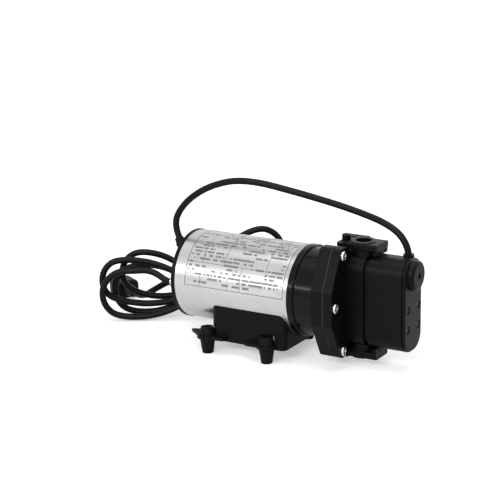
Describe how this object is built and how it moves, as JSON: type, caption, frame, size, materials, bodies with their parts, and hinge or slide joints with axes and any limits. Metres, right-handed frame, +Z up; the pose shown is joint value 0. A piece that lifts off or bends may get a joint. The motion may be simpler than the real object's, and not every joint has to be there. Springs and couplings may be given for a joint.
{
  "type": "diaphragm pump",
  "caption": "Mains diaphragm pump: silver motor in a cradle on rubber feet, black head with a port above and below, switch cable and tied power cord.",
  "frame": {"origin": "centre of the four foot bolt holes, on the floor", "axes": "+X along the motor axis towards the pump head, +Z up, +Y to the far side"},
  "size_m": [0.3974, 0.1526, 0.1643],
  "materials": {
    "can": "satin drawn steel with a fine grain along the axis",
    "label": "thin bare silver label with plain ruled lines",
    "black_plastic": "moulded black plastic, slightly rough",
    "gloss_black": "gloss black coated bell",
    "rubber": "soft black rubber",
    "cord_jacket": "black cord jacket",
    "black_screw": "blackened steel in shadowed recesses",
    "zinc_screw": "bright zinc plated steel",
    "steel": "ground steel",
    "copper": "copper",
    "lamination": "stacked dark steel sheets",
    "ferrite": "grey ferrite",
    "carbon": "pressed carbon",
    "inner_plastic": "natural glass filled nylon",
    "elastomer": "dark elastomer",
    "alloy": "die cast alloy",
    "brass": "plain brass"
  },
  "bodies": {
    "pump_body": {"base_cradle": "black_plastic", "brush_plate": "inner_plastic", "cord_gland": "rubber", "cord_hank": "cord_jacket", "cord_tie": "rubber", "cover_screws": "black_screw", "cradle_screws": "zinc_screw", "diaphragm": "elastomer", "front_bearing": "steel", "front_bell": "gloss_black", "front_cover": "black_plastic", "front_far_foot": "rubber", "front_near_foot": "rubber", "head_screws": "zinc_screw", "inlet_valves": "elastomer", "lower_brush_spring": "steel", "lower_housing": "black_plastic", "lower_magnet": "ferrite", "microswitch": "inner_plastic", "motor_can": "can", "outlet_valves": "elastomer", "plug_blades": "brass", "plug_body": "cord_jacket", "power_cord": "cord_jacket", "rating_label": "label", "rear_bearing": "steel", "rear_end_cap": "black_plastic", "rear_far_foot": "rubber", "rear_near_foot": "rubber", "rectifier": "inner_plastic", "switch_cable": "cord_jacket", "switch_cable_collar": "rubber", "switch_diaphragm": "elastomer", "switch_housing": "black_plastic", "switch_plate": "black_plastic", "switch_spring": "steel", "through_bolts": "zinc_screw", "upper_brush_spring": "steel", "upper_housing": "black_plastic", "upper_magnet": "ferrite", "valve_plate": "inner_plastic"},
    "rotor": {"rotor_shaft": "steel", "armature_core": "lamination", "armature_windings": "copper", "commutator": "copper", "wobble_cam": "alloy", "cam_bearing": "steel"},
    "wobble": {"wobble_plate": "alloy", "upper_piston": "inner_plastic", "lower_piston": "inner_plastic", "upper_piston_cap": "inner_plastic", "lower_piston_cap": "inner_plastic", "piston_screws": "steel"},
    "top_clip": {"top_port_clip": "black_plastic"},
    "bottom_clip": {"bottom_port_clip": "black_plastic"},
    "plunger": {"switch_plunger": "inner_plastic"},
    "button": {"microswitch_button": "inner_plastic"},
    "adjuster": {"adjusting_screw": "black_plastic"},
    "brush_upper": {"upper_brush": "carbon"},
    "brush_lower": {"lower_brush": "carbon"}
  },
  "joints": [
    {"name": "rotor_spin", "type": "hinge", "parent": "pump_body", "child": "rotor", "pos_m": [0, 0, 0.063], "axis": [1, 0, 0], "continuous": true},
    {"name": "wobble_spin", "type": "hinge", "parent": "rotor", "child": "wobble", "pos_m": [0.074, 0, 0.063], "axis": [0.9986, 0, -0.0523], "continuous": true, "deforming": ["diaphragm"]},
    {"name": "top_clip_slide", "type": "slide", "parent": "pump_body", "child": "top_clip", "axis": [-1, 0, 0], "range_m": [0, 0.007]},
    {"name": "bottom_clip_slide", "type": "slide", "parent": "pump_body", "child": "bottom_clip", "axis": [-1, 0, 0], "range_m": [0, 0.007]},
    {"name": "switch_plunger_slide", "type": "slide", "parent": "pump_body", "child": "plunger", "axis": [1, 0, 0], "range_m": [0, 0.001], "stiffness_N_per_m": 200, "springref_m": -0.001, "deforming": ["switch_spring"]},
    {"name": "switch_button_slide", "type": "slide", "parent": "pump_body", "child": "button", "axis": [1, 0, 0], "range_m": [0, 0.001]},
    {"name": "adjuster_turn", "type": "hinge", "parent": "pump_body", "child": "adjuster", "pos_m": [0.161, 0, 0.091], "axis": [1, 0, 0], "range_deg": [-180, 180]},
    {"name": "upper_brush_slide", "type": "slide", "parent": "pump_body", "child": "brush_upper", "axis": [0, 0, 1], "range_m": [0, 0.002], "stiffness_N_per_m": 100, "springref_m": -0.004, "deforming": ["upper_brush_spring"]},
    {"name": "lower_brush_slide", "type": "slide", "parent": "pump_body", "child": "brush_lower", "axis": [0, 0, -1], "range_m": [0, 0.002], "stiffness_N_per_m": 100, "springref_m": -0.004, "deforming": ["lower_brush_spring"]}
  ],
  "couplings": [
    {"joint": "wobble_spin", "follows": "rotor_spin", "ratio": -1},
    {"joint": "switch_button_slide", "follows": "switch_plunger_slide", "ratio": 1}
  ]
}
